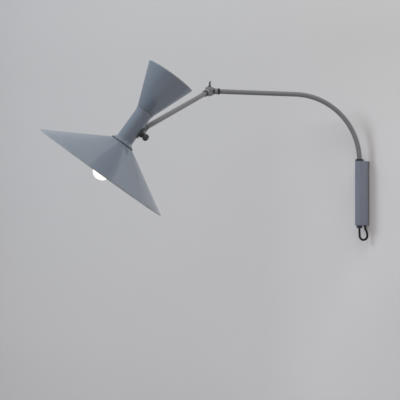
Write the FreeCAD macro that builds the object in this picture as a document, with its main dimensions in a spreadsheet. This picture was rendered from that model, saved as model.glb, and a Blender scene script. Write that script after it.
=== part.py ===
import FreeCAD, Part
import math
import os

import Sketcher
from FreeCAD import Placement, Rotation, Vector

# Articulating wall lamp, in millimetres and degrees.
# The origin is the middle of the wall face: the wall is the plane Y = 0, the lamp stands out
# towards -Y and +Z is up. The joints are modelled in the pose that the lamp is seen in.

SIZES = [
    # wall unit
    ("housing_height", 255, "height of the wall housing"),
    ("housing_radius", 17.5, "round front of the housing, half its width"),
    ("housing_wall", 2.5, "wall of the housing cover"),
    ("axis_to_wall", 47, "swing axis in front of the wall"),
    ("bracket_plate", 10, "thickness of the wall bracket's plate"),
    ("lug_height", 12, "height of each bearing lug"),
    ("bottom_cap_height", 3, "thickness of the cap under the cover"),
    ("wall_screw_spacing", 150, "distance between the two wall screws"),
    ("wall_screw_radius", 2.6, "clearance hole for a wall screw"),
    ("wall_screw_sink", 5, "countersink for a wall screw"),
    ("wire_hole_radius", 6, "hole in the bracket for the building's cable"),
    ("wire_hole_side", 6, "that hole beside the middle of the bracket"),
    ("wire_hole_drop", 34, "that hole below the middle of the bracket"),
    ("cover_screw_radius", 2, "side screws that hold the cover"),
    ("cover_screw_height", 8, "side screws above the lower end of the housing"),
    ("cover_screw_depth", 7, "length of a side screw"),
    ("cover_screw_setback", 10, "side screws behind the swing axis"),
    ("bush_wall", 3, "wall of the bearing bushes"),
    ("top_ring_radius", 17.5, "foot of the ring on top of the housing"),
    ("top_ring_rim", 14.2, "upper edge of that ring"),
    ("top_ring_height", 8, "height of that ring"),
    ("top_ring_foot", 2, "upright foot of that ring"),
    ("top_ring_relief", 0.7, "its bore is wider by this, where the arm begins to bend"),
    ("bottom_flange_height", 2, "flange of the lower bush"),
    ("bottom_flange_radius", 14, "flange of the lower bush"),
    ("nut_radius", 11.7, "nut on the lower end of the arm"),
    ("nut_height", 7.5, "nut on the lower end of the arm"),
    ("collar_radius", 14, "collar on the arm inside the housing"),
    ("collar_height", 12, "collar on the arm inside the housing"),
    ("set_screw_radius", 2.5, "set screw of the collar"),
    ("set_screw_gap", 0.2, "set screw from the arm's leg, and below the collar's face"),
    ("terminal_width", 24, "terminal block, across"),
    ("terminal_depth", 17, "terminal block, out from the bracket"),
    ("terminal_height", 44, "terminal block, up"),
    ("terminal_screw", 2.4, "screw wells of the terminal block"),
    ("terminal_pitch", 13, "distance between its three wells"),
    ("terminal_well", 10.2, "depth of those wells"),
    ("terminal_above", 8, "middle of the terminal block above the middle of the housing"),
    # cables
    ("cable_radius", 4.4, "supply cable"),
    ("gland_setback", 30, "cable gland behind the swing axis"),
    ("gland_side", 7.5, "cable gland beside the middle of the housing"),
    ("gland_radius", 5.7, "shank of the cable gland"),
    ("gland_flange", 6.6, "flange of the cable gland"),
    ("gland_flange_height", 3, "flange of the cable gland"),
    ("grommet_flange_height", 1.5, "flange of the grommet in the arm's lower end"),
    ("grommet_depth", 14, "shank of that grommet"),
    # rear arm
    ("rear_tube_radius", 9.5, "curved arm tube, outside"),
    ("tube_wall", 1.5, "wall of both arm tubes"),
    ("bend_radius", 263.2, "centreline radius of the bend"),
    ("bend_angle", 88.34, "turn of the bend"),
    ("rear_straight", 341.4, "end of the bend to the elbow pin"),
    # elbow
    ("disc_radius", 17.2, "knuckle discs"),
    ("disc_height", 16.6, "height of each knuckle disc"),
    ("knuckle_round", 8, "rounding of a knuckle disc's outer edge"),
    ("friction_disc", 1, "fibre disc between the knuckles"),
    ("knuckle_neck", 18.6, "pin to the start of a knuckle's barrel"),
    ("neck_width", 15, "neck between disc and barrel"),
    ("barrel_radius", 11.5, "knuckle barrels"),
    ("barrel_end", 32.4, "pin to the outer end of a barrel"),
    ("spigot_length", 42, "spigot of a knuckle inside its tube"),
    ("cable_inset", 4, "end of an arm's cable from the neck, inside the knuckle's barrel"),
    ("swivel_ring_radius", 12.2, "dark rings at the swivels"),
    ("swivel_ring_length", 7.6, "dark rings at the swivels"),
    ("swivel_lip", 1.8, "lip of a swivel ring in front of its tube"),
    ("elbow_pin_radius", 5, "elbow pin"),
    ("elbow_thread_radius", 2.5, "threaded end of the elbow pin"),
    ("pin_head_radius", 7.8, "head of the elbow pin"),
    ("pin_head_height", 2.6, "head of the elbow pin"),
    ("elbow_washer_radius", 6.5, "washer under the wing nut"),
    ("washer_height", 1.4, "washers"),
    ("wing_hub_radius", 4, "wing nut, hub"),
    ("wing_hub_height", 9.5, "wing nut, hub"),
    ("wing_height", 20, "wing nut, total height"),
    ("wing_foot", 3, "wing nut, height of its wider foot"),
    ("wing_edge", 1, "wing nut, overhang of that foot, and edge break of the hub"),
    ("wing_span", 14, "wing nut, axis to wing tip"),
    ("wing_thickness", 5, "wing nut, wings"),
    ("wing_round", 5, "wing nut, rounding of the wing tips"),
    ("wing_waist", 3, "wing nut, half the width where the wings leave the hub"),
    # front arm
    ("front_tube_radius", 9, "straight arm tube, outside"),
    ("front_reach", 678.5, "elbow pin to head pivot along the tube's axis"),
    ("tongue_reach", 65, "end of the straight tube to the head pivot"),
    ("end_ring_radius", 11, "ring on the tube's far end"),
    ("end_ring_length", 6, "ring on the tube's far end"),
    ("tongue_barrel", 13, "barrel of the tongue beyond the ring"),
    ("tongue_offset", 15.9, "tongue beside the tube's axis"),
    ("tongue_thickness", 6, "flat of the tongue"),
    ("tongue_radius", 10, "eye of the tongue, half its width"),
    ("tongue_flat", 26, "head pivot to the bend of the tongue"),
    ("tongue_spigot", 34, "tongue's spigot inside the tube"),
    # head
    ("pivot_offset", 36.4, "head axis to the middle of the tongue"),
    ("pivot_bolt_radius", 4, "head pivot bolt"),
    ("pivot_bolt_head", 6.5, "head of the pivot bolt"),
    ("pivot_bolt_head_height", 4, "head of the pivot bolt"),
    ("pivot_bolt_setback", 1.2, "that head inside the cylinder's bore"),
    ("bracket_radius", 10, "boss of the head bracket"),
    ("bracket_width", 17, "saddle of the head bracket, across"),
    ("bracket_length", 36, "saddle of the head bracket, along the head"),
    ("bracket_depth", 3, "saddle of the head bracket, out from the cylinder"),
    ("bracket_screw_radius", 1.8, "screws of the head bracket"),
    ("bracket_screw_head", 2.4, "height of the heads of those screws"),
    ("bracket_screw_pitch", 27, "distance between those screws"),
    ("knob_radius", 11.6, "friction knob of the head pivot"),
    ("knob_length", 21, "friction knob of the head pivot, with its neck"),
    ("knob_round", 8, "rounding of the knob's outer edge"),
    ("knob_shoulder", 5, "rounding of the knob's inner edge"),
    ("knob_neck", 4, "length of the knob's neck"),
    ("knob_neck_radius", 6, "neck of the knob"),
    ("knob_bore", 14, "depth of the pivot bolt in the knob"),
    ("cylinder_radius", 28.6, "central cylinder, outside"),
    ("cylinder_wall", 2, "wall of the central cylinder"),
    ("cylinder_up", 57.5, "head pivot to the cylinder's upper end"),
    ("cylinder_down", 44.7, "head pivot to the cylinder's lower end"),
    ("end_plate_height", 2.5, "plates that close the cylinder"),
    ("stem_radius", 5, "tube that joins the two lampholders"),
    ("stem_bore", 3.5, "bore of that tube"),
    ("stem_thread", 5, "that tube inside each lampholder"),
    ("gasket_height", 1.4, "dark seams under both reflectors"),
    ("gasket_overhang", 1, "lower gasket past the reflector's seat"),
    ("gasket_setback", 0.4, "upper gasket inside the reflector's seat"),
    ("collar_drop", 13.5, "length of the lower conical collar"),
    ("collar_rise", 11.5, "length of the upper conical collar"),
    ("collar_rim", 1, "straight rim of both collars"),
    ("lower_seat_radius", 40.8, "lower reflector at its seam"),
    ("lower_rim_radius", 242.5, "rim of the lower reflector"),
    ("lower_rim_drop", 182.45, "head pivot to the plane of the lower rim"),
    ("upper_seat_radius", 31.4, "upper reflector at its seam"),
    ("upper_rim_radius", 86.6, "rim of the upper reflector"),
    ("upper_rim_rise", 215, "head pivot to the plane of the upper rim"),
    ("reflector_wall", 1.5, "sheet of both reflectors"),
    ("rim_lip", 3, "straight lip at the reflector rims"),
    ("socket_hole", 21, "hole in the reflectors for the lampholder"),
    ("holder_flange", 24, "flange of a lampholder"),
    ("holder_flange_height", 3, "flange of a lampholder"),
    ("holder_radius", 19.5, "skirt of a lampholder"),
    ("holder_length", 55.7, "lampholder from flange to mouth"),
    ("bulb_cap_radius", 13.2, "screw cap of a bulb"),
    ("bulb_cap_length", 25, "screw cap of a bulb"),
    ("bulb_length", 108, "bulb from contact to tip"),
    ("bulb_radius", 30, "globe of a bulb"),
    ("bulb_glass", 1.2, "wall of a bulb's globe"),
    ("bulb_start", 33.2, "lampholder flange to the bulb's contact"),
    ("upper_holder_cut", 10, "upper lampholder shorter than the lower one"),
    ("holder_cone", 6, "taper of a lampholder's well down to the stem"),
    ("bulb_taper", 5, "taper of a bulb's screw cap"),
    ("bulb_neck", 6, "straight neck of a bulb's globe"),
    ("bulb_shoulder", 38, "latitude at which the neck's flare meets the globe"),
    # clearances
    ("running_gap", 0.3, "between faces that move past each other"),
    ("shaft_gap", 0.08, "round a turning shaft, on the radius"),
    ("seat_gap", 0.05, "round a fixed fit, on the radius"),
    ("face_gap", 0.1, "between clamped faces that turn on each other"),
    # pose, and the travel of the posed joints
    ("swing_angle", 223.69, "rear arm about the swing axis, from +X"),
    ("roll_angle", -19.95, "elbow about the rear arm's axis"),
    ("hinge_angle", 66.21, "front arm about the elbow pin, from in line"),
    ("twist_angle", -117.13, "head end about the front arm's axis"),
    ("tilt_angle", 61.76, "lower reflector's axis from the front arm's axis"),
    ("wing_turn", -10, "wings about the elbow pin, from square to the rear arm"),
]

# The supply cable's free loop, from the grommet in the arm's lower end to the gland behind it.
# The first and last points lie on the faces of those two pieces.
LOOP_POINTS = [
    (0.0, -47.0, -139.3),
    (0.0, -47.0, -150.0),
    (0.4, -46.3, -162.0),
    (0.5, -46.1, -175.2),
    (5.5, -37.2, -185.5),
    (12.6, -24.6, -185.5),
    (17.6, -15.7, -175.2),
    (17.4, -15.8, -161.5),
    (13.2, -15.4, -150.0),
    (7.5, -17.0, -140.5),
    (7.5, -17.0, -130.5),
]

# How far a cut runs past the faces that it opens, and the plain edge breaks of turned pieces.
PAST = 1
EDGE_BREAK = 1.5
# How far the setback of a cable's arc goes along the shorter of the two runs that it joins.
ARC_SHARE = 0.45

doc = FreeCAD.newDocument("articulating_wall_lamp")
sheet = doc.addObject("Spreadsheet::Sheet", "sizes")


class Length:
    """A number together with the sheet formula that it comes from."""

    def __init__(self, value, formula):
        self.value = float(value)
        self.formula = formula

    def __float__(self):
        return self.value

    def _join(self, other, sign, result):
        return Length(result, f"({self.formula} {sign} {as_length(other).formula})")

    def __add__(self, other):
        return self._join(other, "+", self.value + float(other))

    def __sub__(self, other):
        return self._join(other, "-", self.value - float(other))

    def __mul__(self, other):
        return self._join(other, "*", self.value * float(other))

    def __truediv__(self, other):
        return self._join(other, "/", self.value / float(other))

    def __radd__(self, other):
        return as_length(other) + self

    def __rsub__(self, other):
        return as_length(other) - self

    def __rmul__(self, other):
        return as_length(other) * self

    def __neg__(self):
        return self * -1


def as_length(number):
    return number if isinstance(number, Length) else Length(number, str(float(number)))


for row, (alias, number, note) in enumerate(SIZES, start=1):
    sheet.set(f"A{row}", note)
    sheet.set(f"B{row}", str(number))
    sheet.setAlias(f"B{row}", alias)
doc.recompute()


def size(alias):
    return Length(getattr(sheet, alias), f"sizes.{alias}")


# ---------------------------------------------------------------- sketches and features

def bind(item, prop, length):
    """Set a property from a length, and keep it tied to the sheet."""
    item.setExpression(prop, as_length(length).formula)


def origin_plane(body, role):
    return next(f for f in body.Origin.OriginFeatures if f.Role == role)


def new_sketch(body, role, offset=0):
    sketch = body.newObject("Sketcher::SketchObject", f"{body.Name}_sketch")
    sketch.AttachmentSupport = [(origin_plane(body, role), "")]
    sketch.MapMode = "FlatFace"
    bind(sketch, "AttachmentOffset.Base.z", offset)
    return sketch


def hold(sketch, geometry, point, kind, length):
    """Hold one coordinate of a sketch point at a length."""
    index = sketch.addConstraint(
        Sketcher.Constraint(kind, -1, 1, geometry, point, float(length)))
    bind(sketch, f"Constraints[{index}]", length)


def draw_outline(sketch, corners):
    """A closed outline. A corner is (x, y), or (x, y, centre x, centre y, turn) where an arc
    about that centre arrives at it; the turn is 1 anticlockwise and -1 clockwise."""
    spots = [Vector(float(corner[0]), float(corner[1]), 0) for corner in corners]
    ends = []
    for number, corner in enumerate(corners):
        start, end = spots[number - 1], spots[number]
        if len(corner) == 2:
            index = sketch.addGeometry(Part.LineSegment(start, end), False)
            ends.append((index, 1, 2))
            continue
        centre = Vector(float(corner[2]), float(corner[3]), 0)
        first, last = (start, end) if corner[4] > 0 else (end, start)
        radius = (start - centre).Length
        angles = [math.atan2(p.y - centre.y, p.x - centre.x) for p in (first, last)]
        if angles[1] <= angles[0]:
            angles[1] += 2 * math.pi
        circle = Part.Circle(centre, Vector(0, 0, 1), radius)
        index = sketch.addGeometry(Part.ArcOfCircle(circle, *angles), False)
        ends.append((index, 1, 2) if corner[4] > 0 else (index, 2, 1))
        chord = end - start
        if abs(chord.x) > abs(chord.y):
            hold(sketch, index, 3, "DistanceY", corner[3])
        else:
            hold(sketch, index, 3, "DistanceX", corner[2])
    for number, (index, _, last) in enumerate(ends):
        following, first, _ = ends[(number + 1) % len(ends)]
        sketch.addConstraint(Sketcher.Constraint("Coincident", index, last, following, first))
        hold(sketch, index, last, "DistanceX", corners[number][0])
        hold(sketch, index, last, "DistanceY", corners[number][1])


def draw_circle(sketch, across, along, radius):
    centre = Vector(float(across), float(along), 0)
    circle = Part.Circle(centre, Vector(0, 0, 1), float(radius))
    index = sketch.addGeometry(circle, False)
    hold(sketch, index, 3, "DistanceX", across)
    hold(sketch, index, 3, "DistanceY", along)
    ring = sketch.addConstraint(Sketcher.Constraint("Radius", index, float(radius)))
    bind(sketch, f"Constraints[{ring}]", radius)


def new_body(label):
    body = doc.addObject("PartDesign::Body", label)
    body.Label = label
    return body


def turn(body, corners, axis="V_Axis", cut=False):
    """Revolve an outline drawn in the XZ plane about Z (V_Axis) or X (H_Axis)."""
    sketch = new_sketch(body, "XZ_Plane")
    draw_outline(sketch, corners)
    kind = "Groove" if cut else "Revolution"
    feature = body.newObject(f"PartDesign::{kind}", f"{body.Name}_{kind.lower()}")
    feature.Profile = sketch
    feature.ReferenceAxis = (sketch, [axis])
    feature.Angle = 360
    return feature


def block(inner, outer, low, high):
    """The corners of a rectangle, for turning or padding."""
    return [(inner, low), (outer, low), (outer, high), (inner, high)]


def ring(label, inner, outer, low, high):
    """A plain turned ring or disc about Z."""
    body = new_body(label)
    turn(body, block(inner, outer, low, high))
    return body


def pad(body, role, draw, length, offset=0, middle=False):
    """Pad what the given function draws, from the offset plane along its normal."""
    sketch = new_sketch(body, role, offset)
    draw(sketch)
    feature = body.newObject("PartDesign::Pad", f"{body.Name}_pad")
    feature.Profile = sketch
    feature.Midplane = middle
    bind(feature, "Length", length)
    return feature


def pocket(body, role, draw, length, offset=0):
    """Cut what the given function draws, from the offset plane along its normal."""
    sketch = new_sketch(body, role, offset)
    draw(sketch)
    feature = body.newObject("PartDesign::Pocket", f"{body.Name}_pocket")
    feature.Profile = sketch
    feature.Reversed = True
    bind(feature, "Length", length)
    return feature


def circles(*places):
    """A drawing function for circles given as (across, along, radius)."""
    def draw(sketch):
        for across, along, radius in places:
            draw_circle(sketch, across, along, radius)
    return draw


def outline(points):
    """A drawing function for a closed outline."""
    def draw(sketch):
        draw_outline(sketch, points)
    return draw


def feature_of(label, shape):
    item = doc.addObject("Part::Feature", label)
    item.Label = label
    item.Shape = shape
    return item


# ---------------------------------------------------------------- frames of the pose

NODES = []


def place(item, frame):
    """Give a finished sub-part its place in the lamp, and list it for writing."""
    item.Placement = frame
    NODES.append(item)
    return item


def about(axis, angle):
    return Placement(Vector(0, 0, 0), Rotation(axis, float(angle)))


def shift(along_x=0, along_y=0, along_z=0):
    return Placement(Vector(float(along_x), float(along_y), float(along_z)), Rotation())


AXIS_X = Vector(1, 0, 0)
AXIS_Y = Vector(0, 1, 0)
AXIS_Z = Vector(0, 0, 1)
CENTRED = shift()

half_height = size("housing_height") / 2
bend = math.radians(float(size("bend_angle")))
radius_of_bend = float(size("bend_radius"))
straight = float(size("rear_straight"))

# Wall unit: the swing axis is Z of this frame, the middle of the housing its origin.
wall_frame = shift(0, -size("axis_to_wall"), 0)
# Rear arm: Z up the swing axis from the housing's top, X out along the arm.
rear_frame = wall_frame * shift(0, 0, half_height) * about(AXIS_Z, size("swing_angle"))
# Elbow: X is the rear arm's axis, away from the wall; Z is the elbow pin.
elbow_spot = shift(radius_of_bend * (1 - math.cos(bend)) + straight * math.sin(bend), 0,
                   radius_of_bend * math.sin(bend) + straight * math.cos(bend))
elbow_frame = (rear_frame * elbow_spot * about(AXIS_Y, size("bend_angle") - 90)
               * about(AXIS_X, size("roll_angle")))
# Front knuckle: X is the front arm's axis. Front arm: Z is the head pivot's direction.
knuckle_frame = elbow_frame * about(AXIS_Z, size("hinge_angle"))
front_frame = knuckle_frame * about(AXIS_X, size("twist_angle"))
# Head pivot: X towards the lower rim, Z out through the knob, origin in the tongue's middle.
pivot_frame = (front_frame * shift(size("front_reach"), 0, size("tongue_offset"))
               * about(AXIS_Z, size("tilt_angle")))
# Head: Z up to the upper rim, X towards the pivot, origin on the head's axis.
head_frame = pivot_frame * shift(0, 0, -size("pivot_offset")) * about(AXIS_Y, -90)


# ---------------------------------------------------------------- wall unit

shaft = size("rear_tube_radius")
bush_bore = shaft + size("shaft_gap")
bush_outside = bush_bore + size("bush_wall")
bush_hole = bush_outside + size("seat_gap")
plate_face = size("axis_to_wall") - size("bracket_plate")
cap_top = -half_height + size("bottom_cap_height")
lower_lug_top = cap_top + size("lug_height")
upper_lug_top = half_height - size("housing_wall")
screw_level = -half_height + size("cover_screw_height")


def round_front(radius, back):
    """Outline seen from above: straight sides from the back, and a round front."""
    return [(-radius, back), (-radius, 0), (radius, 0, 0, 0, 1), (radius, back)]


def side_screw_holes(body, radius):
    """Cross holes for the two side screws, through the whole width."""
    spot = (size("cover_screw_setback"), screw_level, radius)
    pocket(body, "YZ_Plane", circles(spot), size("housing_radius") * 2 + PAST * 2,
           -size("housing_radius") - PAST)


def wall_bracket():
    body = new_body("wall_bracket")
    side = size("housing_radius")
    pad(body, "XY_Plane", outline([(-side, plate_face), (side, plate_face),
                                   (side, size("axis_to_wall")), (-side, size("axis_to_wall"))]),
        size("housing_height"), -half_height)
    inner = side - size("housing_wall") - size("face_gap")
    for bottom in (cap_top, upper_lug_top - size("lug_height")):
        pad(body, "XY_Plane", outline(round_front(inner, plate_face + PAST)),
            size("lug_height"), bottom)
    pocket(body, "XY_Plane", circles((0, 0, bush_hole)), size("housing_height"), -half_height)
    gland_hole = size("gland_radius") + size("seat_gap")
    pocket(body, "XY_Plane", circles((size("gland_side"), size("gland_setback"), gland_hole)),
           lower_lug_top + half_height + PAST, -half_height)
    side_screw_holes(body, size("cover_screw_radius"))
    spacing = size("wall_screw_spacing") / 2
    through = circles((0, spacing, size("wall_screw_radius")),
                      (0, -spacing, size("wall_screw_radius")),
                      (-size("wire_hole_side"), -size("wire_hole_drop"), size("wire_hole_radius")))
    plate = size("bracket_plate")
    pocket(body, "XZ_Plane", through, plate + PAST * 2, -size("axis_to_wall") - PAST)
    sunk = circles((0, spacing, size("wall_screw_sink")), (0, -spacing, size("wall_screw_sink")))
    pocket(body, "XZ_Plane", sunk, plate / 2, -plate_face - plate / 2)
    return body


def mount_housing():
    body = new_body("mount_housing")
    outer = size("housing_radius")
    pad(body, "XY_Plane", outline(round_front(outer, plate_face)),
        half_height - cap_top, cap_top)
    hollow = round_front(outer - size("housing_wall"), plate_face + PAST)
    pocket(body, "XY_Plane", outline(hollow), upper_lug_top - cap_top + PAST, cap_top - PAST)
    pocket(body, "XY_Plane", circles((0, 0, bush_hole)), size("housing_wall") + PAST * 2,
           upper_lug_top - PAST)
    side_screw_holes(body, size("cover_screw_radius") + size("seat_gap"))
    return body


def bottom_cap():
    body = new_body("bottom_cap")
    pad(body, "XY_Plane", outline(round_front(size("housing_radius"), plate_face)),
        size("bottom_cap_height"), -half_height)
    holes = circles((0, 0, bush_hole),
                    (size("gland_side"), size("gland_setback"),
                     size("gland_radius") + size("seat_gap")))
    pocket(body, "XY_Plane", holes, size("bottom_cap_height") + PAST * 2,
           -half_height - PAST)
    return body


def cover_screws():
    """Two set screws, one from each side into the lower lug."""
    reach = size("housing_radius")
    cylinders = []
    for side in (-1, 1):
        screw = doc.addObject("Part::Cylinder", "cover_screw")
        bind(screw, "Radius", size("cover_screw_radius") - size("seat_gap"))
        bind(screw, "Height", size("cover_screw_depth"))
        screw.Placement = Placement(
            Vector(side * float(reach), float(size("cover_screw_setback")), float(screw_level)),
            Rotation(AXIS_Y, -90 * side))
        cylinders.append(screw)
    group = doc.addObject("Part::Compound", "cover_screws")
    group.Label = "cover_screws"
    group.Links = cylinders
    return group


def top_bush():
    """Ring on top of the housing, with the spigot that runs down through the upper lug.
    Above the housing its bore opens a little, because the arm's bend starts there."""
    body = new_body("top_bush")
    foot = half_height
    top = foot + size("top_ring_height")
    relief = bush_bore + size("top_ring_relief")
    turn(body, [(bush_bore, upper_lug_top - size("lug_height")),
                (bush_outside, upper_lug_top - size("lug_height")),
                (bush_outside, foot), (size("top_ring_radius"), foot),
                (size("top_ring_radius"), foot + size("top_ring_foot")),
                (size("top_ring_rim"), top), (relief, top), (relief, foot),
                (bush_bore, foot - size("top_ring_relief"))])
    return body


def bottom_bush():
    body = new_body("bottom_bush")
    under = -half_height - size("bottom_flange_height")
    turn(body, [(bush_bore, under), (size("bottom_flange_radius"), under),
                (size("bottom_flange_radius"), -half_height), (bush_outside, -half_height),
                (bush_outside, lower_lug_top), (bush_bore, lower_lug_top)])
    return body


def terminal_block():
    body = new_body("terminal_block")
    half = size("terminal_width") / 2
    front = plate_face - size("terminal_depth")
    bottom = size("terminal_above") - size("terminal_height") / 2
    pad(body, "XY_Plane", outline([(-half, front), (half, front), (half, plate_face),
                                   (-half, plate_face)]), size("terminal_height"), bottom)
    wells = [(0, size("terminal_above") + step * size("terminal_pitch"), size("terminal_screw"))
             for step in (-1, 0, 1)]
    pocket(body, "XZ_Plane", circles(*wells), size("terminal_well"),
           -front - size("terminal_well"))
    return body


def entry_gland():
    """Gland under the cap, through cap and lug, at the place of its own axis."""
    body = new_body("entry_gland")
    inner = size("cable_radius") + size("seat_gap")
    under = -half_height - size("gland_flange_height")
    turn(body, [(inner, under), (size("gland_flange"), under),
                (size("gland_flange"), -half_height), (size("gland_radius"), -half_height),
                (size("gland_radius"), lower_lug_top + EDGE_BREAK),
                (inner, lower_lug_top + EDGE_BREAK)])
    return body


def wall_unit():
    for make in (wall_bracket, mount_housing, bottom_cap, cover_screws, top_bush, bottom_bush,
                 terminal_block):
        place(make(), wall_frame)
    gland_frame = wall_frame * shift(size("gland_side"), size("gland_setback"), 0)
    place(entry_gland(), gland_frame)
    gland_face = -half_height - size("gland_flange_height")
    terminal_foot = size("terminal_above") - size("terminal_height") / 2
    place(ring("housing_cable", 0, size("cable_radius"), gland_face, terminal_foot), gland_frame)


# ---------------------------------------------------------------- cables

def rounded_route(points):
    """Straight runs through the points, each corner rounded by a tangent arc."""
    spots = [Vector(*point) for point in points]
    edges = []
    radii = []
    start = spots[0]
    for before, corner, after in zip(spots, spots[1:], spots[2:]):
        inward = (before - corner).normalize()
        outward = (after - corner).normalize()
        half_turn = (math.pi - inward.getAngle(outward)) / 2
        setback = ARC_SHARE * min((before - corner).Length, (after - corner).Length)
        radius = setback / math.tan(half_turn)
        first = corner + inward * setback
        last = corner + outward * setback
        bisector = (inward + outward).normalize()
        middle = corner + bisector * (radius / math.cos(half_turn) - radius)
        edges += [Part.LineSegment(start, first).toShape(), Part.Arc(first, middle, last).toShape()]
        radii.append(round(radius, 1))
        start = last
    edges.append(Part.LineSegment(start, spots[-1]).toShape())
    return Part.Wire(edges), radii


def cable_along(label, wire, first_direction):
    """A round cable swept along a wire, its volume compared with section times length."""
    radius = float(size("cable_radius"))
    start = wire.OrderedVertexes[0].Point
    section = Part.Wire(Part.makeCircle(radius, start, first_direction))
    shape = wire.makePipeShell([section], True, False)
    expected = math.pi * radius ** 2 * wire.Length
    print(label, "length", round(wire.Length, 1), "volume ratio", round(shape.Volume / expected, 4))
    return feature_of(label, shape)


def supply_cable_loop():
    wire, radii = rounded_route(LOOP_POINTS)
    print("supply_cable_loop radii", radii)
    first = Vector(*LOOP_POINTS[1]) - Vector(*LOOP_POINTS[0])
    return cable_along("supply_cable_loop", wire, first)


# ---------------------------------------------------------------- rear arm

nut_face = -size("housing_height") - size("bottom_flange_height") - size("running_gap")
tube_foot = nut_face - size("nut_height")
ring_inner_end = size("barrel_end") + size("running_gap")
ring_outer_end = ring_inner_end + size("swivel_ring_length")
tube_end = ring_inner_end + size("swivel_lip")


def arm_route(foot, end):
    """The rear arm's centreline in its own XZ plane, from the foot to short of the elbow pin."""
    turn_end = Vector(radius_of_bend * (1 - math.cos(bend)), 0, radius_of_bend * math.sin(bend))
    middle = Vector(radius_of_bend * (1 - math.cos(bend / 2)), 0,
                    radius_of_bend * math.sin(bend / 2))
    reach = straight - float(end)
    last = turn_end + Vector(math.sin(bend), 0, math.cos(bend)) * reach
    return Part.Wire([Part.LineSegment(Vector(0, 0, float(foot)), Vector(0, 0, 0)).toShape(),
                      Part.Arc(Vector(0, 0, 0), middle, turn_end).toShape(),
                      Part.LineSegment(turn_end, last).toShape()])


def curved_arm_tube():
    """One bent tube: the leg in the housing, the bend and the straight run to the elbow."""
    body = new_body("curved_arm_tube")
    profile = new_sketch(body, "XY_Plane", tube_foot)
    draw_circle(profile, 0, 0, shaft)
    draw_circle(profile, 0, 0, shaft - size("tube_wall"))
    spine = new_sketch(body, "XZ_Plane")
    foot = Vector(0, float(tube_foot), 0)
    leg = spine.addGeometry(Part.LineSegment(foot, Vector(0, 0, 0)), False)
    centre = Vector(radius_of_bend, 0, 0)
    arc = Part.ArcOfCircle(Part.Circle(centre, Vector(0, 0, 1), radius_of_bend),
                           math.pi - bend, math.pi)
    curve = spine.addGeometry(arc, False)
    turn_end = centre + Vector(-math.cos(bend), math.sin(bend), 0) * radius_of_bend
    last = turn_end + Vector(math.sin(bend), math.cos(bend), 0) * (straight - float(tube_end))
    run = spine.addGeometry(Part.LineSegment(turn_end, last), False)
    hold(spine, leg, 1, "DistanceX", 0)
    hold(spine, leg, 1, "DistanceY", tube_foot)
    hold(spine, leg, 2, "DistanceX", 0)
    hold(spine, leg, 2, "DistanceY", 0)
    hold(spine, curve, 3, "DistanceX", size("bend_radius"))
    hold(spine, curve, 3, "DistanceY", 0)
    spine.addConstraint(Sketcher.Constraint("Coincident", leg, 2, curve, 2))
    rise = Length(turn_end.y, "sizes.bend_radius * sin(sizes.bend_angle * 1 deg)")
    hold(spine, curve, 1, "DistanceY", rise)
    spine.addConstraint(Sketcher.Constraint("Tangent", curve, 1, run, 1))
    length = spine.addConstraint(Sketcher.Constraint("Distance", run, straight - float(tube_end)))
    bind(spine, f"Constraints[{length}]", size("rear_straight") - tube_end)
    pipe = body.newObject("PartDesign::AdditivePipe", "curved_arm_tube_pipe")
    pipe.Profile = profile
    pipe.Spine = spine
    return body


def swivel_ring(label):
    """Dark ring over the end of a tube: its lip covers the tube's edge. X is the tube's axis."""
    body = new_body(label)
    tube = shaft if label.startswith("rear") else size("front_tube_radius")
    turn(body, [(ring_inner_end, tube - size("tube_wall")),
                (ring_inner_end, size("swivel_ring_radius")),
                (ring_outer_end, size("swivel_ring_radius")),
                (ring_outer_end, tube + size("seat_gap")),
                (tube_end, tube + size("seat_gap")),
                (tube_end, tube - size("tube_wall"))], "H_Axis")
    return body


def retaining_collar():
    """Collar on the arm's leg, with a cross hole for its set screw; it rests on the lower lug."""
    body = new_body("retaining_collar")
    low = lower_lug_top - half_height + size("running_gap")
    turn(body, block(shaft + size("seat_gap"), size("collar_radius"), low,
                     low + size("collar_height")))
    middle = low + size("collar_height") / 2
    pocket(body, "YZ_Plane", circles((0, middle, size("set_screw_radius"))),
           size("collar_radius") + PAST)
    return body


def collar_set_screw():
    screw = doc.addObject("Part::Cylinder", "collar_set_screw")
    screw.Label = "collar_set_screw"
    bind(screw, "Radius", size("set_screw_radius") - size("seat_gap"))
    bind(screw, "Height", size("collar_radius") - shaft - size("set_screw_gap") * 2)
    return screw


def arm_nut():
    """Hexagon nut on the lower end of the arm's leg."""
    body = new_body("arm_nut")
    hexagon = [(size("nut_radius") * math.cos(math.radians(60 * step)),
                size("nut_radius") * math.sin(math.radians(60 * step))) for step in range(6)]
    pad(body, "XY_Plane", outline(hexagon), size("nut_height"), tube_foot)
    pocket(body, "XY_Plane", circles((0, 0, shaft + size("seat_gap"))),
           size("nut_height") + PAST * 2, tube_foot - PAST)
    return body


def cable_grommet():
    """Grommet in the foot of the arm's leg; the free loop starts at its lower face."""
    body = new_body("cable_grommet")
    inner = size("cable_radius") + size("seat_gap")
    lip = tube_foot - size("grommet_flange_height")
    bore = shaft - size("tube_wall") - size("seat_gap")
    turn(body, [(inner, lip), (shaft, lip), (shaft, tube_foot), (bore, tube_foot),
                (bore, tube_foot + size("grommet_depth")),
                (inner, tube_foot + size("grommet_depth"))])
    return body


def rear_arm():
    for make in (curved_arm_tube, retaining_collar, arm_nut, cable_grommet):
        place(make(), rear_frame)
    middle = lower_lug_top - half_height + size("running_gap") + size("collar_height") / 2
    screw_frame = rear_frame * shift(shaft + size("set_screw_gap"), 0, middle) * about(AXIS_Y, 90)
    place(collar_set_screw(), screw_frame)
    lip = tube_foot - size("grommet_flange_height")
    route = arm_route(lip, size("knuckle_neck") + size("cable_inset"))
    place(cable_along("rear_arm_cable", route, Vector(0, 0, 1)), rear_frame)
    mirrored = elbow_frame * about(AXIS_Z, 180)
    place(swivel_ring("rear_swivel_ring"), mirrored)


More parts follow.
